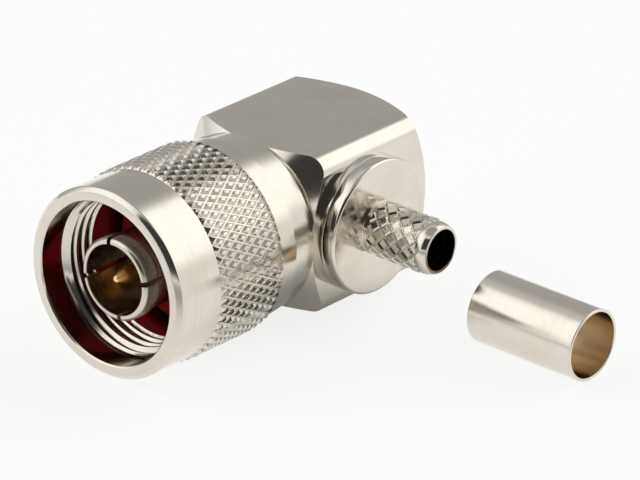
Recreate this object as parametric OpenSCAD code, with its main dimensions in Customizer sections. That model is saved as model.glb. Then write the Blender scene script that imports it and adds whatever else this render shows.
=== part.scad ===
// Right-angle N plug for crimp cable: a rotating coupling nut on a square angle body, with the loose
// ferrule of the set lying beside it. Millimetres, +Z up.
// Origin: centre of the outer contact's front end, the reference plane of the N interface.
// +Y runs from there into the connector, along the nut's axis. The cable leaves along +X.

/* [Node] */
// Which piece to draw

/* [Angle body] */
// Square bar, across the flats
body_w = 16.3; // [14:0.1:20]
// Radius of the bar's four long edges
body_edge_r = 1.25; // [0.5:0.05:3]
// Front face of the bar, behind the reference plane
body_front_y = 18.75; // [17:0.05:24]
// Length of the bar along the nut's axis
body_len = 17.4; // [15:0.1:24]
// Diameter of the flat round face left at each end by turning
body_face_d = 15.6; // [12:0.1:16]
// Slope of the turned end chamfers
body_chamfer_deg = 33.5; // [15:0.5:50]
// Diameter of the round hub that carries the nut
hub_d = 14.5; // [13:0.05:14.8]
// Chamfer of the hub's front edge
hub_chamfer = 0.3; // [0.1:0.05:0.6]
// Diameter of the round boss that the crimp stem is set on
boss_d = 13.7; // [11:0.1:15]
// How far the boss stands out of the bar's side
boss_h = 0.75; // [0.3:0.05:2]
// Chamfer on each side of the seam between boss and flange
seam_chamfer = 0.12; // [0.05:0.01:0.3]
// Diameter of the solder chamber behind the contact
chamber_d = 9.6; // [8:0.1:11]
// Wall left in front of the chamber
web_t = 4.5; // [2:0.1:6]

/* [Coupling nut] */
// How far the nut's front face stands before the reference plane
nut_front = 1.3; // [0.5:0.05:2.5]
// Diameter of the plain band at the mouth
band_d = 19; // [18:0.1:22]
// Back end of the plain band
band_end_y = 4.5; // [3:0.1:7]
// Chamfer of the mouth's outer edge
mouth_chamfer = 0.5; // [0.2:0.05:0.8]
// Chamfer of the mouth's inner edge
lip_chamfer = 0.3; // [0.1:0.05:0.4]
// Width of the groove between the plain band and the knurl
relief_w = 0.4; // [0.2:0.05:1]
// Depth of that groove under the plain band
relief_depth = 0.3; // [0.1:0.05:0.6]
// Diameter over the knurl
knurl_d = 19.5; // [18.4:0.1:22]
// Back end of the knurl
knurl_end_y = 13.05; // [9:0.05:15]
// Depth of the knurl
knurl_depth = 0.3; // [0.1:0.05:0.4]
// Diamonds around the nut
knurl_n = 60; // [36:1:72]
// Angle of the knurl's grooves to the axis
knurl_deg = 30; // [20:1:45]
// Diameter of the plain ring behind the knurl
ring_d = 18.4; // [17.6:0.1:20]
// Back end of that ring, where the cone starts
ring_end_y = 15.55; // [14:0.05:17]
// Diameter at the small end of the rear cone
cone_d = 17.2; // [16.8:0.1:18]
// Gap between the nut's rear face and the bar
nut_rear_gap = 0.3; // [0.15:0.05:1]
// Bore of the smooth mouth before the thread
mouth_bore_d = 16.2; // [16:0.05:17]
// Depth of the mouth, from the nut's front face
mouth_depth = 2.8; // [1:0.1:4]
// Minor diameter of the 5/8-24 UNEF coupling thread
thread_minor_d = 14.9; // [14.8:0.01:15.1]
// Length of the thread
thread_len = 3.5; // [2:0.1:5]
// Bore of the thread's run-out, where the gasket lies
runout_d = 16.1; // [15.9:0.05:16.4]
// Back wall of the run-out
runout_end_y = 12.2; // [11:0.1:14]
// Radial running clearance of the nut on the hub
nut_clear = 0.08; // [0.03:0.01:0.1]

/* [Retaining ring] */
// Front side of the ring's groove
groove_y = 15.3; // [14:0.05:16.5]
// Thickness of the ring along the axis
snap_t = 1; // [0.6:0.05:1.3]
// Free space beside the ring, on each side
snap_side_gap = 0.1; // [0.05:0.01:0.2]
// Depth of the groove in the hub
hub_groove_depth = 0.85; // [0.6:0.05:1]
// Depth of the groove in the nut
nut_groove_depth = 0.6; // [0.4:0.05:0.7]
// Free space under the ring, at the bottom of the hub's groove
snap_floor_gap = 0.35; // [0.2:0.05:0.5]
// Width of the gap in the split ring
snap_split = 2.4; // [1:0.1:5]

/* [Gasket] */
// Front face of the gasket, where the jack seals
gasket_y = 9; // [8.8:0.05:9.6]
// Thickness of the gasket
gasket_t = 1.4; // [0.8:0.05:2]
// Outer diameter of the gasket
gasket_d = 14.6; // [13:0.05:14.8]
// Broken edges of the gasket
gasket_edge = 0.2; // [0.05:0.05:0.4]

/* [Outer contact] */
// Bore of the outer contact
shell_bore_d = 7; // [6.9:0.02:7.1]
// Diameter of its flat front land
shell_land_d = 7.7; // [7.4:0.05:7.9]
// Diameter over the raised contact bead
bead_d = 8.24; // [8.1:0.02:8.4]
// Back end of the bead
bead_end_y = 1.9; // [1:0.1:3]
// Diameter of the spring fingers behind the bead
finger_d = 7.8; // [7.5:0.05:8]
// Length of the four slots
slot_len = 6.2; // [3:0.1:8]
// Width of the four slots
slot_w = 0.5; // [0.3:0.05:0.8]
// Number of slots
slot_n = 4; // [3:1:6]
// Diameter of the root that is pressed into the hub
root_d = 9.8; // [9:0.1:10.6]
// Depth of the root in the hub
root_len = 6.6; // [4:0.1:7]

/* [Centre contact and insulator] */
// Diameter of the mating pin
pin_d = 1.64; // [1.6:0.01:1.68]
// How far the pin's tip lies behind the reference plane
pin_tip_y = 0.2; // [0:0.05:1]
// Length of the pin's rounded nose
pin_nose = 1; // [0.6:0.05:1.5]
// Diameter of the flat at the tip
pin_flat_d = 0.6; // [0.3:0.05:1]
// Diameter of the pin's shoulder
shoulder_d = 3.04; // [2.9:0.01:3.1]
// Front of the shoulder, behind the reference plane
shoulder_y = 5.28; // [5:0.02:5.6]
// Diameter of the contact's shank in the insulator
shank_d = 2.4; // [1.8:0.05:2.8]
// How far the shank reaches past the cable's axis
shank_past = 1.6; // [1:0.1:3]
// Hole across the shank for the cable's conductor
wire_hole_d = 1.1; // [0.6:0.05:1.5]
// Front face of the insulator
insulator_y = 8.6; // [7.5:0.05:9]
// How deep the contact's shoulder sits in the insulator
shoulder_seat = 1; // [0.3:0.05:2]
// Length of the insulator's front, before its flange
insulator_nose_len = 4.3; // [2:0.1:6]
// Diameter of the insulator's flange
insulator_flange_d = 8; // [7.6:0.05:8.6]
// Diameter of the insulator's tail in the web
insulator_tail_d = 6; // [4:0.1:7]

/* [Crimp stem] */
// Cable axis, behind the reference plane
stem_y = 26.4; // [24:0.05:30]
// Thickness of the stem's flange
flange_t = 1.45; // [0.8:0.05:3]
// Rounded front edge of the flange, as a chamfer
flange_chamfer = 0.25; // [0.1:0.05:0.5]
// Diameter of the spigot pressed into the body
spigot_d = 8; // [6.5:0.1:9]
// Depth of the spigot in the body
spigot_len = 3.6; // [2:0.1:4]
// Bore for the cable's dielectric
stem_bore_d = 4.1; // [3:0.05:4.6]
// Diameter over the stem's knurl, where the braid is clamped
stem_knurl_d = 5.5; // [4.8:0.05:6]
// Diameter of the smooth ends of the stem
stem_d = 5.3; // [4.6:0.05:5.8]
// Depth of that knurl
stem_knurl_depth = 0.2; // [0.1:0.05:0.25]
// Diamonds around the stem
stem_knurl_n = 12; // [8:1:16]
// Angle of the stem's grooves to its axis
stem_knurl_deg = 45; // [30:1:50]
// Share of each diamond that is left flat on the stem
stem_knurl_flat = 0.62; // [0.3:0.02:0.8]
// Length of the smooth neck at the flange
neck_len = 0.5; // [0.2:0.05:1.5]
// Length of the knurl
stem_knurl_len = 5.9; // [3:0.1:9]
// Length of the smooth nose after the knurl
nose_len = 1.2; // [0.6:0.05:2]
// Length of the nose's tapered end
nose_taper = 0.6; // [0.2:0.05:1]
// Diameter of the nose at its end
nose_d = 4.75; // [4.4:0.05:5.2]

/* [Rear cap] */
// Diameter of the cap
cap_d = 11.8; // [10:0.1:13]
// Thickness of the cap
cap_t = 1.6; // [0.8:0.1:2.5]
// How far the cap lies below the bar's rear face
cap_recess = 0.25; // [0:0.05:0.6]
// Chamfer of the cap's edge
cap_chamfer = 0.2; // [0.05:0.05:0.5]

/* [Crimp ferrule] */
// Bore of the ferrule
ferrule_bore_d = 6.6; // [6:0.05:7.2]
// Outer diameter of the ferrule
ferrule_d = 7.25; // [6.6:0.05:8]
// Length of the ferrule
ferrule_len = 12.4; // [8:0.1:16]
// Broken edges of the ferrule
ferrule_edge = 0.08; // [0:0.01:0.15]
// Gap from the end of the stem to the loose ferrule, along X
ferrule_apart_x = 3.25; // [1:0.05:20]
// Sideways place of the loose ferrule, from the cable axis
ferrule_apart_y = 3.85; // [-20:0.05:20]

/* [Fits] */
// Radial gap of pieces pressed or set into one another
seat_gap = 0.02; // [0.01:0.01:0.05]
// Radial gap around the soft pieces
soft_gap = 0.05; // [0.02:0.01:0.1]

/* [Hidden] */
$fn = 96;
NICKEL = [0.84, 0.82, 0.78];
SATIN = [0.80, 0.79, 0.76];
GOLD = [0.85, 0.62, 0.22];
RUBBER_RED = [0.45, 0.02, 0.04];
PTFE = [0.95, 0.94, 0.90];

bar_half = body_w / 2;
bar_end_y = body_front_y + body_len;
corner_r = (bar_half - body_edge_r) * sqrt(2) + body_edge_r;
chamfer_rise = tan(body_chamfer_deg);
hub_front_y = gasket_y + gasket_t;
hub_r = hub_d / 2;
seam_x = bar_half + boss_h;
root_end_y = hub_front_y + root_len;
chamber_y = root_end_y + web_t;
cap_seat_y = bar_end_y - cap_recess - cap_t;

nut_front_y = -nut_front;
nut_rear_y = body_front_y - nut_rear_gap;
nut_bore_r = hub_r + nut_clear;
mouth_end_y = nut_front_y + mouth_depth;
thread_minor_r = thread_minor_d / 2;
countersink = (mouth_bore_d - thread_minor_d) / 2;
thread_start_y = mouth_end_y + countersink;
thread_end_y = thread_start_y + thread_len;
knurl_y = band_end_y + relief_w;
snap_y = groove_y + snap_side_gap;
groove_w = snap_t + 2 * snap_side_gap;
hub_groove_r = hub_r - hub_groove_depth;
nut_groove_r = nut_bore_r + nut_groove_depth;

flange_x = seam_x + flange_t;
knurl_x = flange_x + neck_len;
nose_x = knurl_x + stem_knurl_len;
stem_end_x = nose_x + nose_len;
floor_z = -knurl_d / 2;
ferrule_x = stem_end_x + ferrule_apart_x;
lap = 0.02;

module along_y(y = 0) { translate([0, y, 0]) rotate([-90, 0, 0]) children(); }
module along_x(x = 0, y = stem_y, z = 0) { translate([x, y, z]) rotate([0, 90, 0]) children(); }

// a band of diamonds about Z, raised between two crossing sets of grooves: sharp, or flat by a share of
// their size. Its inner wall, at in_r, lies in the piece that carries it.
module diamond_knurl(crest_r, in_r, depth, length, n, deg, flat = 0) {
    rows = max(2, round(length * n * tan(deg) / (PI * crest_r)));
    function at(i, j, r) = [r * cos(180 * i / n), r * sin(180 * i / n), length * j / rows];
    // the points of one lattice place: itself, then the flat's corners to the left, right, below and above
    function place(i, j) = let (r = (i + j) % 2 == 0 ? crest_r - depth : crest_r)
        [at(i, j, r), at(i - flat, j, r), at(i + flat, j, r), at(i, j - flat, r), at(i, j + flat, r)];
    function idx(i, j, k = 0) = 5 * (j * 2 * n + (i + 2 * n) % (2 * n)) + k;
    function inner(i, end) = 10 * n * (rows + 1) + end * 2 * n + (i + 2 * n) % (2 * n);
    // one side of a diamond, from groove crossing p to q, with the flat's corners kp and kq
    function side(c, p, q, kp, kq) = flat == 0 ? [[p, q, c]]
        : [[p, q, c + kq], [p, c + kq, c + kp], [c, c + kp, c + kq]];
    function rim(i, j) = flat == 0 ? [idx(i - 1, j), idx(i, j), idx(i + 1, j)]
        : [idx(i - 1, j), idx(i, j, 1), idx(i, j), idx(i, j, 2), idx(i + 1, j)];
    function back(v) = [for (k = [len(v) - 1 : -1 : 0]) v[k]];
    cells = [for (j = [0 : rows], i = [0 : 2 * n - 1]) if ((i + j) % 2 == 1) [i, j]];
    polyhedron(
        points = concat(
            [for (j = [0 : rows], i = [0 : 2 * n - 1]) each place(i, j)],
            [for (end = [0, 1], i = [0 : 2 * n - 1]) at(i, end * rows, in_r)]),
        faces = concat(
            [for (c = cells) let (i = c[0], j = c[1], m = idx(i, j)) if (j < rows) each concat(
                side(m, idx(i - 1, j), idx(i, j + 1), 1, 4), side(m, idx(i, j + 1), idx(i + 1, j), 4, 2))],
            [for (c = cells) let (i = c[0], j = c[1], m = idx(i, j)) if (j > 0) each concat(
                side(m, idx(i + 1, j), idx(i, j - 1), 2, 3), side(m, idx(i, j - 1), idx(i - 1, j), 3, 1))],
            [for (c = cells) let (i = c[0], j = c[1]) if (j == 0)
                concat(rim(i, j), [inner(i + 1, 0), inner(i, 0), inner(i - 1, 0)])],
            [for (c = cells) let (i = c[0], j = c[1]) if (j == rows)
                concat(back(rim(i, j)), [inner(i - 1, 1), inner(i, 1), inner(i + 1, 1)])],
            [for (i = [0 : 2 * n - 1]) [inner(i, 0), inner(i + 1, 0), inner(i + 1, 1), inner(i, 1)]]));
}

// the bar's section, with true round edges
module bar_section() {
    flat_w = body_w - 2 * body_edge_r;
    square([flat_w, body_w], center = true);
    square([body_w, flat_w], center = true);
    for (sx = [-1, 1], sy = [-1, 1])
        translate([sx, sy] * flat_w / 2) circle(r = body_edge_r);
}

// the turning that leaves a round face and a sloped chamfer at each end of the bar
module turned_envelope() {
    face_r = body_face_d / 2;
    out_r = corner_r + 0.5;
    slope = (out_r - face_r) * chamfer_rise;
    rotate_extrude() polygon([
        [0, body_front_y], [face_r, body_front_y], [out_r, body_front_y + slope],
        [out_r, bar_end_y - slope], [face_r, bar_end_y], [0, bar_end_y]]);
}

module hub_profile() {
    polygon([
        [0, hub_front_y], [hub_r - hub_chamfer, hub_front_y], [hub_r, hub_front_y + hub_chamfer],
        [hub_r, groove_y], [hub_groove_r, groove_y],
        [hub_groove_r, groove_y + groove_w], [hub_r, groove_y + groove_w],
        [hub_r, body_front_y + 1], [0, body_front_y + 1]]);
}

module right_angle_body() {
    color(NICKEL) difference() {
        union() {
            intersection() {
                along_y(body_front_y) linear_extrude(body_len) bar_section();
                along_y() turned_envelope();
            }
            along_y() rotate_extrude() hub_profile();
            along_x() rotate_extrude() polygon([
                [0, bar_half - 1], [boss_d / 2, bar_half - 1], [boss_d / 2, seam_x - seam_chamfer],
                [boss_d / 2 - seam_chamfer, seam_x], [0, seam_x]]);
        }
        // seats for the outer contact, the insulator's tail and the cap, and the solder chamber
        along_y() rotate_extrude() polygon([
            [0, hub_front_y - 1], [root_d / 2, hub_front_y - 1], [root_d / 2, root_end_y],
            [insulator_tail_d / 2, root_end_y], [insulator_tail_d / 2, chamber_y],
            [chamber_d / 2, chamber_y], [chamber_d / 2, cap_seat_y],
            [cap_d / 2, cap_seat_y], [cap_d / 2, bar_end_y + 1], [0, bar_end_y + 1]]);
        // seat for the crimp stem
        along_x() cylinder(d = spigot_d, h = seam_x + 1);
    }
}

module nut_profile() {
    band_r = band_d / 2;
    mouth_r = mouth_bore_d / 2;
    relief_r = band_r - relief_depth;
    ring_r = ring_d / 2;
    runout_r = runout_d / 2;
    polygon([
        // outside, from the mouth to the rear
        [band_r - mouth_chamfer, nut_front_y], [band_r, nut_front_y + mouth_chamfer],
        [band_r, band_end_y], [relief_r, band_end_y], [relief_r, knurl_y + relief_w],
        [ring_r, knurl_end_y - relief_w], [ring_r, ring_end_y], [cone_d / 2, nut_rear_y],
        // inside, from the rear back to the mouth
        [nut_bore_r, nut_rear_y],
        [nut_bore_r, groove_y + groove_w], [nut_groove_r, groove_y + groove_w],
        [nut_groove_r, groove_y], [nut_bore_r, groove_y],
        [nut_bore_r, runout_end_y], [runout_r, runout_end_y],
        [runout_r, thread_end_y + runout_r - thread_minor_r], [thread_minor_r, thread_end_y],
        [thread_minor_r, thread_start_y], [mouth_r, mouth_end_y],
        [mouth_r, nut_front_y + lip_chamfer], [mouth_r + lip_chamfer, nut_front_y]]);
}

module coupling_nut() {
    color(SATIN) union() {
        along_y() rotate_extrude() nut_profile();
        along_y(knurl_y) diamond_knurl(knurl_d / 2, (runout_d + ring_d) / 4, knurl_depth,
            knurl_end_y - knurl_y, knurl_n, knurl_deg);
    }
}

module retaining_ring() {
    in_r = hub_groove_r + snap_floor_gap;
    out_r = nut_groove_r - seat_gap;
    color(SATIN) along_y(snap_y) difference() {
        cylinder(r = out_r, h = snap_t);
        translate([0, 0, -1]) cylinder(r = in_r, h = snap_t + 2);
        translate([-snap_split / 2, in_r / 2, -1]) cube([snap_split, out_r, snap_t + 2]);
    }
}

module gasket() {
    in_r = finger_d / 2 + soft_gap;
    out_r = gasket_d / 2;
    color(RUBBER_RED) along_y() rotate_extrude() polygon([
        [in_r, hub_front_y], [in_r, gasket_y + gasket_edge], [in_r + gasket_edge, gasket_y],
        [out_r - gasket_edge, gasket_y], [out_r, gasket_y + gasket_edge], [out_r, hub_front_y]]);
}

module outer_contact() {
    bore_r = shell_bore_d / 2;
    land_r = shell_land_d / 2;
    bead_r = bead_d / 2;
    finger_r = finger_d / 2;
    root_r = root_d / 2 - seat_gap;
    seat_y = insulator_y + insulator_nose_len;
    color(NICKEL) difference() {
        along_y() rotate_extrude() polygon([
            [bore_r, 0], [land_r, 0], [bead_r, bead_r - land_r], [bead_r, bead_end_y],
            [finger_r, bead_end_y + bead_r - finger_r], [finger_r, hub_front_y],
            [root_r, hub_front_y], [root_r, root_end_y],
            [insulator_flange_d / 2, root_end_y], [insulator_flange_d / 2, seat_y],
            [bore_r, seat_y]]);
        for (i = [0 : slot_n - 1])
            rotate([0, i * 360 / slot_n, 0])
                translate([0, -1, -slot_w / 2]) cube([root_d, slot_len + 1, slot_w]);
    }
}

module centre_contact() {
    pin_r = pin_d / 2;
    tip_r = pin_flat_d / 2;
    shank_end_y = stem_y + shank_past;
    color(GOLD) difference() {
        along_y() rotate_extrude() polygon([
            [0, pin_tip_y], [tip_r, pin_tip_y],
            [tip_r + 0.6 * (pin_r - tip_r), pin_tip_y + 0.25 * pin_nose],
            [tip_r + 0.9 * (pin_r - tip_r), pin_tip_y + 0.6 * pin_nose],
            [pin_r, pin_tip_y + pin_nose], [pin_r, shoulder_y],
            [shoulder_d / 2, shoulder_y], [shoulder_d / 2, insulator_y + shoulder_seat],
            [shank_d / 2, insulator_y + shoulder_seat], [shank_d / 2, shank_end_y],
            [0, shank_end_y]]);
        along_x(-shank_d) cylinder(d = wire_hole_d, h = 2 * shank_d);
    }
}

module insulator() {
    color(PTFE) along_y() rotate_extrude() polygon([
        [shoulder_d / 2 + seat_gap, insulator_y],
        [shell_bore_d / 2 - seat_gap, insulator_y],
        [shell_bore_d / 2 - seat_gap, insulator_y + insulator_nose_len],
        [insulator_flange_d / 2 - seat_gap, insulator_y + insulator_nose_len],
        [insulator_flange_d / 2 - seat_gap, root_end_y],
        [insulator_tail_d / 2 - seat_gap, root_end_y],
        [insulator_tail_d / 2 - seat_gap, chamber_y],
        [shank_d / 2 + seat_gap, chamber_y],
        [shank_d / 2 + seat_gap, insulator_y + shoulder_seat],
        [shoulder_d / 2 + seat_gap, insulator_y + shoulder_seat]]);
}

module crimp_stem() {
    flange_r = boss_d / 2;
    spigot_r = spigot_d / 2 - seat_gap;
    floor_r = stem_knurl_d / 2 - 1.5 * stem_knurl_depth;
    color(NICKEL) union() {
        along_x() rotate_extrude() polygon([
            [stem_bore_d / 2, seam_x - spigot_len], [spigot_r, seam_x - spigot_len],
            [spigot_r, seam_x], [flange_r - seam_chamfer, seam_x], [flange_r, seam_x + seam_chamfer],
            [flange_r, flange_x - flange_chamfer], [flange_r - flange_chamfer, flange_x],
            [stem_d / 2, flange_x], [stem_d / 2, knurl_x + lap],
            [floor_r, knurl_x + neck_len], [floor_r, nose_x - neck_len],
            [stem_d / 2, nose_x - lap], [stem_d / 2, stem_end_x - nose_taper],
            [nose_d / 2, stem_end_x], [stem_bore_d / 2, stem_end_x]]);
        along_x(knurl_x) diamond_knurl(stem_knurl_d / 2, (stem_bore_d / 2 + floor_r) / 2,
            stem_knurl_depth, stem_knurl_len, stem_knurl_n, stem_knurl_deg, stem_knurl_flat);
    }
}

module rear_cap() {
    cap_r = cap_d / 2 - seat_gap;
    color(NICKEL) along_y() rotate_extrude() polygon([
        [0, cap_seat_y], [cap_r, cap_seat_y], [cap_r, cap_seat_y + cap_t - cap_chamfer],
        [cap_r - cap_chamfer, cap_seat_y + cap_t], [0, cap_seat_y + cap_t]]);
}

module crimp_ferrule() {
    in_r = ferrule_bore_d / 2;
    out_r = ferrule_d / 2;
    color(NICKEL) along_x(ferrule_x, stem_y + ferrule_apart_y, floor_z + out_r)
        rotate_extrude() polygon([
            [in_r, 0], [out_r - ferrule_edge, 0], [out_r, ferrule_edge],
            [out_r, ferrule_len - ferrule_edge], [out_r - ferrule_edge, ferrule_len],
            [in_r, ferrule_len]]);
}

right_angle_body();
coupling_nut();
retaining_ring();
gasket();
outer_contact();
centre_contact();
insulator();
crimp_stem();
rear_cap();
crimp_ferrule();
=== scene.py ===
# %% [markdown]
# # Dressing a right-angle coaxial plug
#
# The real object is a right-angle N plug for crimp cable, with its loose crimp ferrule lying beside it.
# Nearly every piece of it came off a lathe: the nut, the contacts, the stem, the cap and the ferrule.
# Only the angle body starts as a square bar, and even its ends were turned.
# So this file makes almost everything in the same way as a lathe does: an outline is drawn as a thin wire,
# its corners are rounded, and the wire is spun about the piece's axis.
# Lengths are written in millimetres, and each mesh is scaled to metres once, at its end.

# %% The frame that everything is built in
from math import atan2, cos, degrees, hypot, pi, radians, sin, sqrt, tan

import bmesh
import bpy
from mathutils import Matrix, Vector


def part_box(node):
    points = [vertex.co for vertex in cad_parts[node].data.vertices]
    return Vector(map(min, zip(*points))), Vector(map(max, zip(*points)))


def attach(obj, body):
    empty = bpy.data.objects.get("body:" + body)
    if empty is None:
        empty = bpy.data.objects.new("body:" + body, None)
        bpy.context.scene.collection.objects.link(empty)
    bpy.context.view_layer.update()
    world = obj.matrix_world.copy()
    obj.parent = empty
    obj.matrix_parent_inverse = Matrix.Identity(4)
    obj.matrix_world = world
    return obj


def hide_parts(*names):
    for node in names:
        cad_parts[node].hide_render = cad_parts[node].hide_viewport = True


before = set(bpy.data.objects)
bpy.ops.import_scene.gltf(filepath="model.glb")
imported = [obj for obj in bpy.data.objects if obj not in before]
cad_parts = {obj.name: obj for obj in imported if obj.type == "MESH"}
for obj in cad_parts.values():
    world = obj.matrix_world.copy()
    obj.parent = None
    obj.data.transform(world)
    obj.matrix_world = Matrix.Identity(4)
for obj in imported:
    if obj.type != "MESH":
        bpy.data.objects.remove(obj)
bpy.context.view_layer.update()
MM = 0.001


def span(node, axis):
    """The lowest and highest value of a solid along an axis, in millimetres."""
    low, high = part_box(node)
    return low[axis] / MM, high[axis] / MM


for name in sorted(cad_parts):
    print(name, [tuple(round(v, 2) for v in span(name, axis)) for axis in range(3)])

# %% [markdown]
# ## Places and sizes
# The solids already say where each piece starts and ends, so those places are read from their boxes.
# Only sizes that a box can't tell, such as a bore or a chamfer, are written here as numbers.

# %% Places read from the solids
NUT_FRONT, NUT_REAR = span("coupling_nut", 1)
CREST = span("coupling_nut", 2)[1]
HALF = span("right_angle_body", 2)[1]
HUB_FRONT, BAR_REAR = span("right_angle_body", 1)
SEAM = span("right_angle_body", 0)[1]
GASKET_FRONT = span("gasket", 1)[0]
GASKET_R = span("gasket", 2)[1]
ROOT_END = span("outer_contact", 1)[1]
PIN_TIP, SHANK_END = span("centre_contact", 1)
INSULATOR_FRONT, INSULATOR_END = span("insulator", 1)
STEM_Y = sum(span("crimp_stem", 1)) / 2
SPIGOT_X, STEM_END = span("crimp_stem", 0)
CAP_FRONT, CAP_REAR = span("rear_cap", 1)
CAP_R = span("rear_cap", 2)[1]
FERRULE_X = span("crimp_ferrule", 0)
FERRULE_Y = sum(span("crimp_ferrule", 1)) / 2
FERRULE_Z = sum(span("crimp_ferrule", 2)) / 2
FERRULE_R = (span("crimp_ferrule", 2)[1] - span("crimp_ferrule", 2)[0]) / 2
FLOOR_Z = min(span("coupling_nut", 2)[0], span("crimp_ferrule", 2)[0])
print("nut", NUT_FRONT, NUT_REAR, "bar's rear", BAR_REAR, "cable axis", STEM_Y, "floor", FLOOR_Z)

# %% [markdown]
# ## Camera
# A long lens from far away keeps the connector's parallel edges nearly parallel, as in a catalogue picture.
# The camera is placed by its direction from the object: 40 degrees round to the right of the nut's axis and
# 25 degrees up, with a very small roll.

# %% Camera
AZIMUTH, ELEVATION, ROLL = radians(39.82), radians(24.98), radians(1.72)
EYE = Vector((279.008, -304.727, 197.073))
LENS, SENSOR = 275.35, 36
back = Vector((sin(AZIMUTH) * cos(ELEVATION), -cos(AZIMUTH) * cos(ELEVATION), sin(ELEVATION)))
right = Vector((cos(AZIMUTH), sin(AZIMUTH), 0))
up = back.cross(right)
rolled_right = right * cos(ROLL) + up * sin(ROLL)
rolled_up = up * cos(ROLL) - right * sin(ROLL)
place = Matrix((rolled_right, rolled_up, back)).transposed().to_4x4()
place.translation = EYE * MM
camera_data = bpy.data.cameras.new("camera")
camera_data.sensor_width = SENSOR
camera_data.lens = LENS
camera_data.clip_start, camera_data.clip_end = 0.01, 20
camera = bpy.data.objects.new("camera", camera_data)
camera.matrix_world = place
bpy.context.scene.collection.objects.link(camera)
bpy.context.scene.camera = camera
bpy.context.scene.view_settings.view_transform = "Standard"
print("camera", [round(v) for v in EYE], "mm, lens", LENS)

# %% [markdown]
# ## Writing shader maths as sums
# A material that varies over a surface is a small sum: a base value, plus some noise, times a mask.
# It is stored as a chain of Math nodes, one for each sign. The little class below wraps a socket and overloads
# the signs + - * /, so the sum can be written as Python writes it, and each sign adds its own node.

# %% Sockets that can be added and multiplied
class Wire:
    """A node socket that Python's arithmetic signs work on."""

    def __init__(self, tree, socket):
        self.tree, self.socket = tree, socket

    def beside(self, n):
        """Another output of the same node, by its number or name."""
        return Wire(self.tree, self.socket.node.outputs[n])

    def maths(self, operation, *values):
        return self.tree.node("ShaderNodeMath", {"operation": operation}, values=values)

    def __add__(self, other): return self.maths("ADD", self, other)
    def __radd__(self, other): return self.maths("ADD", other, self)
    def __sub__(self, other): return self.maths("SUBTRACT", self, other)
    def __rsub__(self, other): return self.maths("SUBTRACT", other, self)
    def __mul__(self, other): return self.maths("MULTIPLY", self, other)
    def __rmul__(self, other): return self.maths("MULTIPLY", other, self)
    def __truediv__(self, other): return self.maths("DIVIDE", self, other)
    def power(self, exponent): return self.maths("POWER", self, exponent)
    def most(self, other): return self.maths("MAXIMUM", self, other)
    def size(self): return self.maths("ABSOLUTE", self)


# %% A tree of nodes
class Tree:
    """A material's or the world's nodes, with one method that adds any node."""

    def __init__(self, owner):
        owner.use_nodes = True
        self.nodes, self.links = owner.node_tree.nodes, owner.node_tree.links
        self.nodes.clear()

    def feed(self, socket, value):
        if isinstance(value, Wire):
            self.links.new(value.socket, socket)
        else:
            socket.default_value = value

    def node(self, kind, settings=None, sockets=None, values=(), out=0, stops=None):
        """Adds a node, sets it up, fills its sockets and returns one of its outputs."""
        made = self.nodes.new(kind)
        for name, value in (settings or {}).items():
            setattr(made, name, value)
        for n, (position, colour) in enumerate(stops or []):
            ramp = made.color_ramp
            stop = ramp.elements[n] if n < 2 else ramp.elements.new(position)
            stop.position, stop.color = position, colour
        for n, value in enumerate(values):
            self.feed(made.inputs[n], value)
        for name, value in (sockets or {}).items():
            self.feed(made.inputs[name], value)
        return Wire(self, made.outputs[out]) if made.outputs else None

    def step(self, value, low, high):
        """0 below low, 1 above high, with a soft change between."""
        return self.node("ShaderNodeMapRange", {"interpolation_type": "SMOOTHSTEP"},
                         {"Value": value, "From Min": low, "From Max": high})

    def blend(self, factor, a, b):
        """A colour between a and b."""
        return self.node("ShaderNodeMix", {"data_type": "RGBA"}, {0: factor, 6: a, 7: b}, out=2)

    def noise(self, vector, scale, detail=2.0, rough=0.5):
        return self.node("ShaderNodeTexNoise", {},
                         {"Vector": vector, "Scale": scale, "Detail": detail, "Roughness": rough})


# %% [markdown]
# ## Bright metal
# Nickel plate is a mirror with a warm, slightly yellow grey. What makes it look like metal is what it reflects
# and how evenly: turning leaves fine rings that stretch the reflections, plating softens them, and fingers and
# cloths leave faint patches that are a little duller than the rest.
# The rings are noise that varies fast along the piece's axis and outwards from it, but not around it.
# Two places differ. A rolled knurl was pressed and not cut, so its little faces aren't quite flat, and each one
# mirrors something else. And inside a bore the colour is painted: dark brown in the contact's sleeve, as
# painted shade with a painted reflection of the gold pin, almost black in the stem, as painted shade, and
# browner in the ferrule, as a painted reflection.

# %% Rings about an axis
def turned_rings(tree, axis, centre):
    """Noise in rings about an axis, as a cutting tool leaves them, from Object coordinates in millimetres."""
    place = tree.node("ShaderNodeTexCoord", out=3)
    inner = tree.node("ShaderNodeMapping", {"vector_type": "TEXTURE"},
                      {"Vector": place, "Location": [c * MM for c in centre], "Scale": (MM, MM, MM)})
    parts = tree.node("ShaderNodeSeparateXYZ", values=[inner])
    x, y, z = (parts.beside(n) for n in range(3))
    along, p, q = (y, x, z) if axis == "Y" else (x, y, z)
    radius = (p * p + q * q).power(0.5)
    rings = tree.node("ShaderNodeCombineXYZ", values=[along, radius, 0.0])
    return inner, rings, along, radius


# %% Plated metal
DEEPER = (0.93, 0.92, 0.89)
PATCH, GRAIN, DENT = 0.06, 0.4, 12.0
RELIEF = 0.002 * MM


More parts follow.
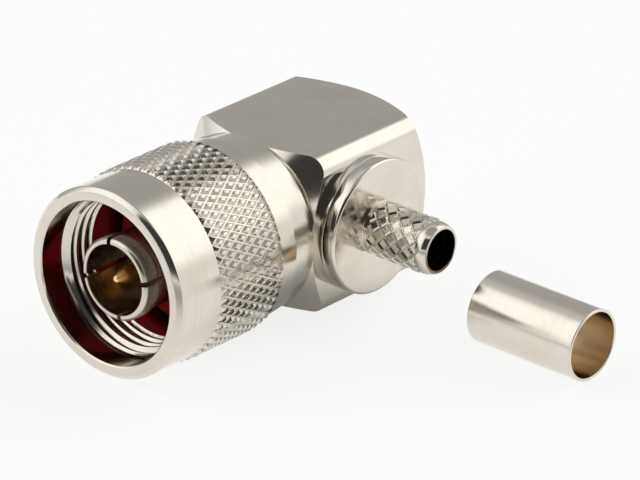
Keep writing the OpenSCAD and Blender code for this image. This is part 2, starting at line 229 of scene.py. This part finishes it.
def plated(name, colour, rough, axis=None, centre=(0, 0, 0), ring=0.5, rolled=None, painted_inside_colour=None,
           inner_radius=0.0):
    """Plated metal: warm base colour, dull patches, and turning rings or a fine polishing grain. Between the
    two places in rolled it was pressed and isn't quite flat. Inside inner_radius its colour is replaced by
    a painted one: painted shade or a painted reflection."""
    material = bpy.data.materials.new(name)
    tree = Tree(material)
    inner, rings, along, radius = turned_rings(tree, axis or "Y", centre)
    patches = tree.noise(inner, 0.22, 4.0, 0.55)
    fine = tree.noise(inner, 6.0, 3.0, 0.6)
    dull = tree.step(patches, 0.42, 0.68)
    if axis:
        lines = tree.noise(rings, 9.0, 4.0, 0.65)
    else:
        stretched = tree.node("ShaderNodeMapping", {}, {"Vector": inner, "Scale": (1.0, 14.0, 1.0)})
        lines = tree.noise(stretched, 1.4, 3.0, 0.6)
    deeper = tuple(c * k for c, k in zip(colour, DEEPER))
    tool_marks = tree.step(lines, 0.45, 0.75) * ring
    base = tree.blend(dull * 0.6 + fine * 0.3 + tool_marks * 0.8, (*colour, 1), (*deeper, 1))
    height = lines * ring + fine * GRAIN
    if rolled:
        first, last = rolled
        pressed = tree.step(along, first, first + 0.02) * (1 - tree.step(along, last - 0.02, last))
        height = height + pressed * tree.noise(inner, 4.0, 2.0, 0.6) * DENT
    # Inside inner_radius the metal's own colour gives way to a painted one: painted shade or a painted
    # reflection.
    if painted_inside_colour:
        outside = tree.step(radius, inner_radius, inner_radius + 0.1)
        base = tree.blend(1 - outside, base, (*painted_inside_colour, 1))
    roughness = rough + PATCH * dull + 0.05 * (lines - 0.5) * ring + 0.04 * (fine - 0.5)
    normal = tree.node("ShaderNodeBump", {}, {"Strength": 1.0, "Distance": RELIEF, "Height": height})
    surface = tree.node("ShaderNodeBsdfPrincipled", {}, {
        "Base Color": base, "Metallic": 1.0, "Roughness": roughness, "Normal": normal})
    tree.node("ShaderNodeOutputMaterial", {}, {"Surface": surface})
    return material


# %% The metals
NICKEL = (0.70, 0.66, 0.59)
body_nickel = plated("body nickel", NICKEL, 0.10, ring=0.25)
nut_nickel = plated("nut nickel", NICKEL, 0.13, "Y", ring=1.2, rolled=(4.8, 13.0))
# Inside its sleeve the contact's colour is painted dark brown: painted shade, with a painted reflection of the
# gold pin.
contact_nickel = plated("contact nickel", (0.66, 0.61, 0.53), 0.22, "Y", ring=0.7,
                        painted_inside_colour=(0.37, 0.28, 0.19), inner_radius=3.52)
# Inside the stem's bore the colour is painted almost black: painted shade.
stem_nickel = plated("stem nickel", NICKEL, 0.12, "X", (0, STEM_Y, 0), ring=0.7, rolled=(10.9, 16.7),
                     painted_inside_colour=(0.05, 0.045, 0.04), inner_radius=2.07)
cap_nickel = plated("cap nickel", NICKEL, 0.12, "Y", ring=1.0)
# Inside the ferrule the colour is painted browner: a painted reflection.
ferrule_nickel = plated("ferrule nickel", (0.72, 0.675, 0.605), 0.16, "X", (0, FERRULE_Y, FERRULE_Z), ring=0.8,
                        painted_inside_colour=(0.76, 0.65, 0.50), inner_radius=3.32)
spring_steel = plated("spring steel", (0.62, 0.60, 0.57), 0.28, "Y", ring=0.6)
gold_plate = plated("gold plate", (1.0, 0.69, 0.26), 0.32, "Y", ring=0.6)
print("metals", sorted(material.name for material in bpy.data.materials))

# %% [markdown]
# ## Red rubber and white PTFE
# The gasket is silicone rubber in a deep red, dull, with the fine speckle of moulded rubber.
# The insulator is PTFE, turned from rod: white, slightly waxy, with faint tool rings.

# %% Soft materials
SPECK_DEPTH = 0.03 * MM
SCATTER = (0.001, 0.0009, 0.0008)


def soft(name, colour, dark, rough, turned=False, subsurface=0.0, level=0.5):
    """Rubber or plastic with cloudy colour and fine specks, or with fine rings where it was turned."""
    material = bpy.data.materials.new(name)
    tree = Tree(material)
    inner, rings, *_ = turned_rings(tree, "Y", (0, 0, 0))
    cloud = tree.noise(inner, 0.6, 3.0, 0.5)
    speck = tree.noise(rings if turned else inner, 8.0, 3.0, 0.6)
    base = tree.blend(cloud * 0.5 + speck * 0.5, (*colour, 1), (*dark, 1))
    normal = tree.node("ShaderNodeBump", {}, {"Strength": 0.25, "Distance": SPECK_DEPTH, "Height": speck})
    surface = tree.node("ShaderNodeBsdfPrincipled", {}, {
        "Base Color": base, "Roughness": rough + 0.12 * (speck - 0.5), "Normal": normal,
        "Specular IOR Level": level, "Subsurface Weight": subsurface, "Subsurface Radius": SCATTER})
    tree.node("ShaderNodeOutputMaterial", {}, {"Surface": surface})
    return material


red_rubber = soft("red rubber", (0.53, 0.012, 0.016), (0.36, 0.007, 0.011), 0.5, level=0.15)
white_ptfe = soft("white PTFE", (0.86, 0.85, 0.80), (0.80, 0.78, 0.72), 0.40, turned=True, subsurface=0.15)
print("soft materials", red_rubber.name, "and", white_ptfe.name)

# %% [markdown]
# ## Turning
# `outline` lists the corners of a piece's section as (place along the axis, radius, rounding).
# The corners are rounded by a vertex bevel while the section is still a wire, because a bevel on a few
# vertices is exact and cheap, and every edge of the finished piece then catches light as a real edge does.
# Bright metal shows every error of its normals, so each piece ends with a Weighted Normal modifier, which lets
# the broad faces decide how the narrow ones beside them are shaded.

# %% Drawing a section
STEPS = 192
WELD = 0.0005
LINE = {"X": (1, 0, 0), "Y": (0, 1, 0)}


def spot(axis, centre, along, radius):
    """A point of a section, in the plane that holds the axis."""
    x, y, z = centre
    return (x + radius, y + along, z) if axis == "Y" else (x + along, y + radius, z)


def section(bm, outline, axis, centre, closed):
    """Draws an outline as a wire in bm and rounds its corners."""
    verts = [bm.verts.new(spot(axis, centre, corner[0], corner[1])) for corner in outline]
    pairs = list(zip(verts, verts[1:])) + ([(verts[-1], verts[0])] if closed else [])
    edges = [bm.edges.new(pair) for pair in pairs]
    for size in sorted({corner[2] for corner in outline if len(corner) > 2}):
        corners = [v for v, corner in zip(verts, outline) if len(corner) > 2 and corner[2] == size]
        bmesh.ops.bevel(bm, geom=corners, offset=size, offset_type="OFFSET", segments=4, profile=0.5,
                        affect="VERTICES", clamp_overlap=True, material=-1)
    return bm.verts[:] + bm.edges[:]


# %% Spinning a section
def turn(outline, axis="Y", centre=(0, 0, 0), closed=True, steps=STEPS, sweep=2 * pi, start=0.0,
         dvec=(0, 0, 0)):
    """Spins a section into a closed turned shape and returns its bmesh."""
    bm = bmesh.new()
    geom = section(bm, outline, axis, centre, closed)
    if start:
        bmesh.ops.rotate(bm, verts=bm.verts, cent=centre, matrix=Matrix.Rotation(start, 3, LINE[axis]))
    full = abs(sweep - 2 * pi) < 1e-6 and not any(dvec)
    bmesh.ops.spin(bm, geom=geom, cent=centre, axis=LINE[axis], dvec=dvec, angle=sweep, steps=steps,
                   use_merge=full, use_duplicate=False)
    if not full:
        bmesh.ops.holes_fill(bm, edges=[e for e in bm.edges if e.is_boundary], sides=0)
    bmesh.ops.remove_doubles(bm, verts=bm.verts, dist=WELD)
    bmesh.ops.recalc_face_normals(bm, faces=bm.faces)
    return bm


def join(*parts):
    """Puts several bmeshes into the first one."""
    whole = parts[0]
    for part in parts[1:]:
        mesh = bpy.data.meshes.new("part")
        part.to_mesh(mesh)
        whole.from_mesh(mesh)
        part.free()
        bpy.data.meshes.remove(mesh)
    return whole


# %% Finishing a piece
EVEN = [("WEIGHTED_NORMAL", {"keep_sharp": True})]


def piece(name, bm, material, body, node, sharp=32, modifiers=EVEN):
    """Turns a bmesh in millimetres into a finished piece that stands for its solid."""
    bmesh.ops.scale(bm, vec=(MM, MM, MM), verts=bm.verts)
    for face in bm.faces:
        face.smooth = True
    mesh = bpy.data.meshes.new(name)
    bm.to_mesh(mesh)
    bm.free()
    mesh.set_sharp_from_angle(angle=radians(sharp))
    mesh.materials.append(material)
    made = bpy.data.objects.new(name, mesh)
    bpy.context.scene.collection.objects.link(made)
    for kind, settings in modifiers:
        modifier = made.modifiers.new(kind.lower(), kind)
        for key, value in settings.items():
            setattr(modifier, key, value)
    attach(made, body)
    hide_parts(node)
    print(name, len(mesh.polygons), "faces")


# %% [markdown]
# ## Angle body
# A lathe made this from square bar: it turned the hub that carries the nut, and a sloped chamfer at each end,
# the same shape as on a hexagon nut. Where the cone of a chamfer meets the bar's flat sides it leaves curved
# edges. Spinning a section gives the right rings of faces. The two shoulder rings are then pushed out from a
# circle to the bar's rounded square, and slid along the axis to stay on the cone, which draws those curved
# edges exactly. The bar's long edge above the cable came out of the polishing rounder than the other three.

# %% Section of the bar
BAR_FRONT = 18.75
FACE_R = 7.8
EDGE, WORN_EDGE = 1.25, 2.05
RISE = tan(radians(33.5))
HUB_R = 7.25
BOSS_R = 6.85
BOSS_ROOT = 0.4
CAP_SEAT_R = CAP_R + 0.02


def bar_radius(angle):
    """Distance from the axis to the rounded square bar in a direction. One corner was polished rounder."""
    edge = WORN_EDGE if 0 < angle < pi / 2 else EDGE
    fold = abs((angle + pi / 4) % (pi / 2) - pi / 4)
    flat = HALF - edge
    if HALF * tan(fold) <= flat:
        return HALF / cos(fold)
    towards = flat * (cos(fold) + sin(fold))
    return towards + sqrt(towards * towards - 2 * flat * flat + edge * edge)


# %% Angle body
SHOULDER = 9.0
bar = turn([
    (HUB_FRONT, 0), (HUB_FRONT, HUB_R, 0.3), (BAR_FRONT, HUB_R), (BAR_FRONT, FACE_R),
    (BAR_FRONT + 1, SHOULDER), (BAR_REAR - 1, SHOULDER), (BAR_REAR, FACE_R),
    (BAR_REAR, CAP_SEAT_R), (CAP_FRONT, CAP_SEAT_R), (CAP_FRONT, 0)], closed=False, steps=288)
for v in bar.verts:
    radius = hypot(v.co.x, v.co.z)
    if abs(radius - SHOULDER) < 0.01:
        out = bar_radius(atan2(v.co.z, v.co.x))
        v.co.x *= out / radius
        v.co.z *= out / radius
        slide = (out - FACE_R) * RISE
        v.co.y = BAR_FRONT + slide if v.co.y < STEM_Y else BAR_REAR - slide
CABLE_AXIS = (0, STEM_Y, 0)
boss = turn([
    (HALF - BOSS_ROOT, 0), (HALF - BOSS_ROOT, BOSS_R), (SEAM, BOSS_R, 0.05), (SEAM, 0)], "X", CABLE_AXIS,
    closed=False)
SOFT_EDGE = ("BEVEL", {"width": 0.10 * MM, "segments": 3, "limit_method": "ANGLE", "angle_limit": radians(18),
                       "harden_normals": False})
CLEAN = ("WELD", {"merge_threshold": WELD * MM})
piece("right_angle_body_dressed", join(bar, boss), body_nickel, "connector_body", "right_angle_body",
      modifiers=[SOFT_EDGE, CLEAN, *EVEN])

# %% [markdown]
# ## Knurling
# A knurling wheel rolls two crossing sets of grooves into the metal and leaves rows of small diamonds. Pushed
# in all the way it would leave pyramids, but here the tops stay flat and the grooves are blunt.
# Spinning a straight line of points gives a net of squares on a cylinder. Every second point of the net is
# lifted to a crest, like the dark squares of a chess board, and each square is then split between its two low
# points, so the splits line up into the two sets of helical grooves. Bevels then cut the crests flat and make
# the grooves blunt, and the last row at each end slopes down to the plain metal, as the wheel's edge leaves it.
# Out of sight a plain tube joins the two ends, so that the ring is a closed shape.

# %% Points around an axis
def reach(v, middle, n):
    """The arm from the axis to a vertex, and its place along the axis, which is coordinate n."""
    arm = v.co - middle
    along = arm[n]
    arm[n] = 0
    return arm, along


def put(v, middle, n, arm, along):
    """Puts a vertex at the end of an arm, at a place along the axis."""
    arm[n] = along
    v.co = middle + arm


# %% Net of squares with lifted crests
def lifted_net(apex, valley, start, length, count, rows, lead, axis, middle, n):
    """A cylinder of squares of radius valley, with every second point lifted to apex, and those points."""
    bm = bmesh.new()
    line = [bm.verts.new(spot(axis, middle, start + length * j / rows, valley)) for j in range(rows + 1)]
    edges = [bm.edges.new(pair) for pair in zip(line, line[1:])]
    bmesh.ops.spin(bm, geom=line + edges, cent=middle, axis=LINE[axis], dvec=(0, 0, 0), angle=2 * pi,
                   steps=2 * count, use_merge=True, use_duplicate=False)
    bmesh.ops.remove_doubles(bm, verts=bm.verts, dist=WELD)
    crests = []
    for v in bm.verts:
        arm, along = reach(v, middle, n)
        angle = atan2(arm.z, arm.x if axis == "Y" else arm.y)
        if (round(angle * count / pi) + round((along - start) * rows / length)) % 2:
            crests.append(v)
            if v.is_boundary:
                along += lead if along < start + length / 2 else -lead
            put(v, middle, n, arm * (apex / valley), along)
    return bm, crests


# %% Slopes that close the ends
def close_ends(bm, core, first, last, middle, n):
    """Joins each open end to a ring of radius core, at the places first and last along the axis."""
    made = bmesh.ops.extrude_edge_only(bm, edges=[e for e in bm.edges if e.is_boundary])
    for v in made["geom"]:
        if isinstance(v, bmesh.types.BMVert):
            arm, along = reach(v, middle, n)
            put(v, middle, n, arm * (core / arm.length), first if along < (first + last) / 2 else last)


# %% Knurling helper
def diamonds(crest, depth, core, start, length, count, rows, flat, groove, lead, axis="Y", centre=(0, 0, 0)):
    """A ring of rolled diamonds, count around and rows along. The share flat of each is cut off at its crest,
    and groove is the width of the blunt bottoms. At both ends the crests step in by lead, and a slope that
    starts twice as far outside closes the ring down to the radius core."""
    middle, n = Vector(centre), 1 if axis == "Y" else 0
    apex = crest + depth * flat / (1 - flat)
    bm, crests = lifted_net(apex, crest - depth, start, length, count, rows, lead, axis, middle, n)
    high = set(crests)
    for face in bm.faces[:]:
        low = [v for v in face.verts if v not in high]
        bmesh.utils.face_split(face, low[0], low[1])
    valleys = [e for e in bm.edges if not high & set(e.verts) and not e.is_boundary]
    close_ends(bm, core, start - 2 * lead, start + length + 2 * lead, middle, n)
    bmesh.ops.bevel(bm, geom=crests, offset=100 * flat, offset_type="PERCENT", segments=1, profile=0.5,
                    affect="VERTICES", clamp_overlap=True, material=-1)
    bmesh.ops.bevel(bm, geom=valleys, offset=groove / 2, offset_type="OFFSET", segments=1, profile=0.5,
                    affect="EDGES", clamp_overlap=True, material=-1)
    bmesh.ops.bridge_loops(bm, edges=[e for e in bm.edges if e.is_boundary])
    bmesh.ops.recalc_face_normals(bm, faces=bm.faces)
    top = max(reach(v, middle, n)[0].length for v in bm.verts)
    print("diamonds", len(bm.faces), "faces, crests", round(top, 3))
    return bm


# %% [markdown]
# ## Coupling nut
# The nut has a plain band at its mouth, a knurl that stands a little proud of it, a plain ring and a shallow
# cone towards the body. Inside are a smooth mouth, the 5/8-24 thread and a wide bore where the red gasket lies.
# A thread is one ridge that winds forward, so it is a spin that also moves along the axis. At both ends the
# ridge is pushed outwards until it has sunk into the wall, where a real thread runs out.

# %% Turned shape of the nut
BAND_END, KNURL_END, CONE_START = 4.5, 13.15, 15.55
BAND_R, RING_R, REAR_R, NUT_BORE = 9.5, 9.15, 8.88, 7.33
MOUTH_END, THREAD_END, RUNOUT_END = 1.5, 5.65, 12.2
MOUTH_R, MINOR_R, MAJOR_R, RUNOUT_R = 8.1, 7.45, 7.94, 8.05
OUTER_LIP, INNER_LIP = 0.42, 0.14
nut_turning = turn([
    (NUT_FRONT, BAND_R - OUTER_LIP, 0.06), (NUT_FRONT + OUTER_LIP, BAND_R, 0.08), (BAND_END, BAND_R, 0.05),
    (BAND_END, RING_R), (CONE_START, RING_R, 0.06), (NUT_REAR, REAR_R, 0.15), (NUT_REAR, NUT_BORE, 0.1),
    (RUNOUT_END, NUT_BORE), (RUNOUT_END, RUNOUT_R), (THREAD_END + 0.6, RUNOUT_R), (THREAD_END + 0.45, MAJOR_R),
    (MOUTH_END + 0.16, MAJOR_R), (MOUTH_END, MOUTH_R), (NUT_FRONT + INNER_LIP, MOUTH_R, 0.03),
    (NUT_FRONT, MOUTH_R + INNER_LIP, 0.03)])
print("nut section spun into", len(nut_turning.faces), "faces")

# %% Thread
PITCH = 25.4 / 24
TURNS = 4.2
PER_TURN = 96
RIDGE_FOOT, RIDGE_TOP = 0.41, 0.13
SUNK_R = MAJOR_R + 0.05
first = THREAD_END + 0.35 - TURNS * PITCH
thread = turn([
    (first - RIDGE_FOOT, MAJOR_R + 0.06), (first - RIDGE_TOP, MINOR_R, 0.04),
    (first + RIDGE_TOP, MINOR_R, 0.04), (first + RIDGE_FOOT, MAJOR_R + 0.06)], sweep=TURNS * 2 * pi,
    steps=int(TURNS * PER_TURN), start=radians(40), dvec=(0, PITCH / PER_TURN, 0))
for v in thread.verts:
    radius = hypot(v.co.x, v.co.z)
    least = min(SUNK_R, max(MOUTH_R - (v.co.y - MOUTH_END), MINOR_R + (v.co.y - THREAD_END)))
    if radius < least:
        v.co.x *= least / radius
        v.co.z *= least / radius
print("thread", TURNS, "turns of", round(PITCH, 3), "mm")

# %% Coupling nut
nut_knurl = diamonds(CREST, depth=0.32, core=8.9, start=BAND_END, length=KNURL_END - BAND_END, count=60, rows=9,
                     flat=0.34, groove=0.17, lead=0.3)
piece("coupling_nut_dressed", join(nut_turning, thread, nut_knurl), nut_nickel, "coupling_nut", "coupling_nut",
      sharp=24)

# %% [markdown]
# ## Gasket, insulator and contacts
# The outer contact is a springy sleeve with a raised bead at its mouth and four slots that let its fingers
# flex. Each finger is the same section spun through a little less than a quarter turn, and closed at both ends.
# The sleeve was screwed home before it was fixed, so its slots don't stand upright. They lean by 11 degrees.

# %% Gasket and insulator
GASKET_BORE = 3.95
STEP_Y, NECK_Y, SHOULDER_Y = 12.9, 17.0, 9.6
piece("gasket_dressed", turn([
    (GASKET_FRONT, GASKET_BORE, 0.2), (GASKET_FRONT, GASKET_R, 0.25), (HUB_FRONT, GASKET_R, 0.1),
    (HUB_FRONT, GASKET_BORE)]), red_rubber, "connector_body", "gasket")
piece("insulator_dressed", turn([
    (INSULATOR_FRONT, 1.54, 0.05), (INSULATOR_FRONT, 3.48, 0.12), (STEP_Y, 3.48), (STEP_Y, 3.98),
    (NECK_Y, 3.98), (NECK_Y, 2.98), (INSULATOR_END, 2.98), (INSULATOR_END, 1.22), (SHOULDER_Y, 1.22),
    (SHOULDER_Y, 1.54)]), white_ptfe, "connector_body", "insulator")

# %% Outer contact
SLEEVE_BORE, SLEEVE_R, BEAD_R, ROOT_R = 3.5, 3.9, 4.12, 4.88
LIP_R, SEAT_R = 3.85, 4.0
SLOT_END, HALF_SLOT, LEAN = 6.2, 0.25 / LIP_R, radians(11)
fingers = []
for quarter in range(4):
    fingers.append(turn([
        (0.0, SLEEVE_BORE, 0.1), (0.0, LIP_R, 0.08), (0.27, BEAD_R, 0.12), (1.9, BEAD_R, 0.1), (2.12, SLEEVE_R),
        (SLOT_END, SLEEVE_R), (SLOT_END, SLEEVE_BORE)], steps=44, sweep=pi / 2 - 2 * HALF_SLOT,
        start=quarter * pi / 2 + HALF_SLOT - LEAN))
root = turn([
    (SLOT_END, SLEEVE_BORE), (SLOT_END, SLEEVE_R), (HUB_FRONT, SLEEVE_R), (HUB_FRONT, ROOT_R),
    (ROOT_END, ROOT_R), (ROOT_END, SEAT_R), (STEP_Y, SEAT_R), (STEP_Y, SLEEVE_BORE)])
piece("outer_contact_dressed", join(*fingers, root), contact_nickel, "connector_body", "outer_contact")

# %% Centre contact
PIN_R, PIN_ROOT, COLLAR_R, SHANK_R = 0.82, 5.28, 1.52, 1.2
piece("centre_contact_dressed", turn([
    (PIN_TIP, 0), (PIN_TIP, 0.28, 0.14), (PIN_TIP + 1.2, PIN_R, 0.3), (PIN_ROOT, PIN_R),
    (PIN_ROOT, COLLAR_R, 0.12), (SHOULDER_Y, COLLAR_R), (SHOULDER_Y, SHANK_R), (SHANK_END, SHANK_R, 0.1),
    (SHANK_END, 0)], closed=False, steps=96), gold_plate, "connector_body", "centre_contact")

# %% [markdown]
# ## Crimp stem, cap and ferrule
# The stem's flange seats on the body's boss, and both have a small rounding at the seam, so it shows as a fine
# dark line. The stem's knurl is much coarser than the nut's, only twelve diamonds around, and its crests stay
# flat, because it has to hold the cable's braid without cutting it.

# %% Crimp stem
FLANGE_X = SEAM + 1.45
GRIP_X, GRIP_LENGTH = FLANGE_X + 0.5, 5.9
GRIP_END = GRIP_X + GRIP_LENGTH
STEM_BORE, STEM_R, UNDER_KNURL_R, SPIGOT_R = 2.05, 2.65, 2.45, 3.98
stem_turning = turn([
    (SPIGOT_X, STEM_BORE), (SPIGOT_X, SPIGOT_R), (SEAM, SPIGOT_R), (SEAM, BOSS_R, 0.05),
    (FLANGE_X, BOSS_R, 0.3), (FLANGE_X, STEM_R, 0.08), (GRIP_X + 0.03, STEM_R), (GRIP_X + 0.5, UNDER_KNURL_R),
    (GRIP_END - 0.5, UNDER_KNURL_R), (GRIP_END - 0.03, STEM_R), (STEM_END - 0.6, STEM_R, 0.3),
    (STEM_END, 2.375, 0.06), (STEM_END, STEM_BORE, 0.06)], "X", CABLE_AXIS)
stem_knurl = diamonds(2.75, depth=0.2, core=2.3, start=GRIP_X, length=GRIP_LENGTH, count=12, rows=8, flat=0.62,
                      groove=0.08, lead=0.1, axis="X", centre=CABLE_AXIS)
piece("crimp_stem_dressed", join(stem_turning, stem_knurl), stem_nickel, "connector_body", "crimp_stem",
      sharp=24)

# %% Rear cap and ferrule
FERRULE_BORE = 3.3
piece("rear_cap_dressed", turn([
    (CAP_FRONT, 0), (CAP_FRONT, CAP_R), (CAP_REAR, CAP_R, 0.2), (CAP_REAR, 0)], closed=False),
    cap_nickel, "connector_body", "rear_cap")
piece("crimp_ferrule_dressed", turn([
    (FERRULE_X[0], FERRULE_BORE, 0.08), (FERRULE_X[0], FERRULE_R, 0.1), (FERRULE_X[1], FERRULE_R, 0.1),
    (FERRULE_X[1], FERRULE_BORE, 0.08)], "X", (0, FERRULE_Y, FERRULE_Z)), ferrule_nickel, "connector_body",
    "crimp_ferrule")

# %% Retaining ring, which keeps its solid
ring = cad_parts["retaining_ring"]
ring.data.materials.clear()
ring.data.materials.append(spring_steel)
print("retaining ring in", spring_steel.name)

# %% [markdown]
# ## Floor and studio
# The floor is white and keeps a soft shadow. Bright metal sees a different floor: pale beside and behind the
# part, with painted shade towards the camera and a painted shadow under the part itself, which gives each round
# surface a shaded side.
# The world is the studio, drawn as soft panels on the sky: pale all round, with a grey wall behind on the left,
# a softbox on each side, and the dark room around the camera that gives bright metal its black accents.
# Straight overhead it is darker again. A camera ray that misses everything sees plain white.

# %% Floor
WHITE = (1, 1, 1, 1)
PART_X, PART_Y = 2.0, 24.0
floor_bm = bmesh.new()
bmesh.ops.create_circle(floor_bm, cap_ends=True, segments=96, radius=4.0)
bmesh.ops.translate(floor_bm, verts=floor_bm.verts, vec=(0.02, 0.02, FLOOR_Z * MM))
floor_mesh = bpy.data.meshes.new("floor")
floor_bm.to_mesh(floor_mesh)
floor_bm.free()
floor = bpy.data.objects.new("floor", floor_mesh)
bpy.context.scene.collection.objects.link(floor)
floor_material = bpy.data.materials.new("white floor")
tree = Tree(floor_material)


def shine(strength):
    return tree.node("ShaderNodeEmission", {}, {"Color": WHITE, "Strength": strength})


camera_ray = tree.node("ShaderNodeLightPath")
glossy_ray = camera_ray.beside("Is Glossy Ray")
pale = tree.node("ShaderNodeBsdfDiffuse", {}, {"Color": (0.86, 0.86, 0.85, 1)})
x = tree.node("ShaderNodeSeparateXYZ", values=[tree.node("ShaderNodeTexCoord", out=3)])
y = x.beside(1)
# The floor that metal mirrors carries painted shade: its glow drops from 1.45 to 0.35 towards the camera, and a
# painted shadow lies under the part.
forward = (x * sin(AZIMUTH) - y * cos(AZIMUTH)) / MM
dx, dy = x / MM - PART_X, y / MM - PART_Y
from_part = (dx * dx + dy * dy).power(0.5)
painted_floor_shade = tree.step(forward, 0.0, 60.0).most(1 - tree.step(from_part, 8.0, 19.0))
mirrored = tree.node("ShaderNodeMixShader", values=[painted_floor_shade, shine(1.45), shine(0.35)])
lit = tree.node("ShaderNodeMixShader", values=[glossy_ray, shine(1.1), mirrored])
shown = tree.node("ShaderNodeMixShader", values=[camera_ray * 0.75 + glossy_ray * 0.55, pale, lit])
tree.node("ShaderNodeOutputMaterial", {}, {"Surface": shown})
floor_mesh.materials.append(floor_material)
print("floor", round(FLOOR_Z, 2), "mm below the axis")

# %% Panels on the sky
world = bpy.data.worlds.new("studio")
bpy.context.scene.world = world
tree = Tree(world)
ray = tree.node("ShaderNodeTexCoord", out=0)


def along(azimuth, elevation=0.0):
    """How far a ray goes in a direction: 1 straight at it, 0 at a right angle."""
    a, e = radians(azimuth), radians(elevation)
    aim = (sin(a) * cos(e), -cos(a) * cos(e), sin(e))
    return tree.node("ShaderNodeVectorMath", {"operation": "DOT_PRODUCT"}, values=[ray, aim], out=1)


upward = along(0, 90)
height = upward.maths("ARCSINE", upward) * degrees(1)


def panel(azimuth, elevation, half_width, half_height, soft):
    """A soft upright panel on the sky, in degrees: 1 inside it, 0 outside its soft border."""
    turned = tree.node("ShaderNodeMath", {"operation": "ARCTAN2"}, values=[along(azimuth + 90), along(azimuth)])
    across = (turned * degrees(1)).size()
    rise = (height - elevation).size()
    return (1 - tree.step(across, half_width - soft, half_width + soft)) * (
        1 - tree.step(rise, half_height - soft, half_height + soft))


# %% Studio
grey_wall = panel(-128, 18, half_width=45, half_height=40, soft=12)
dark_room = panel(50, 30, half_width=54, half_height=24, soft=3)
left_box = panel(-45, 34, half_width=32, half_height=24, soft=12)
right_box = panel(155, 37, half_width=29, half_height=23, soft=7)
overhead = tree.step(height, 58, 70)
level = 1.02 + left_box * 0.42 + right_box * 0.52
level = level * (1 - grey_wall * 0.54) * (1 - dark_room * 0.95) * (1 - overhead * 0.6)
camera_ray = tree.node("ShaderNodeLightPath")
seen = camera_ray + (1 - camera_ray) * level
sky = tree.node("ShaderNodeBackground", {}, {"Color": WHITE, "Strength": seen})
tree.node("ShaderNodeOutputWorld", {}, {"Surface": sky})
print("studio", len(world.node_tree.nodes), "nodes")
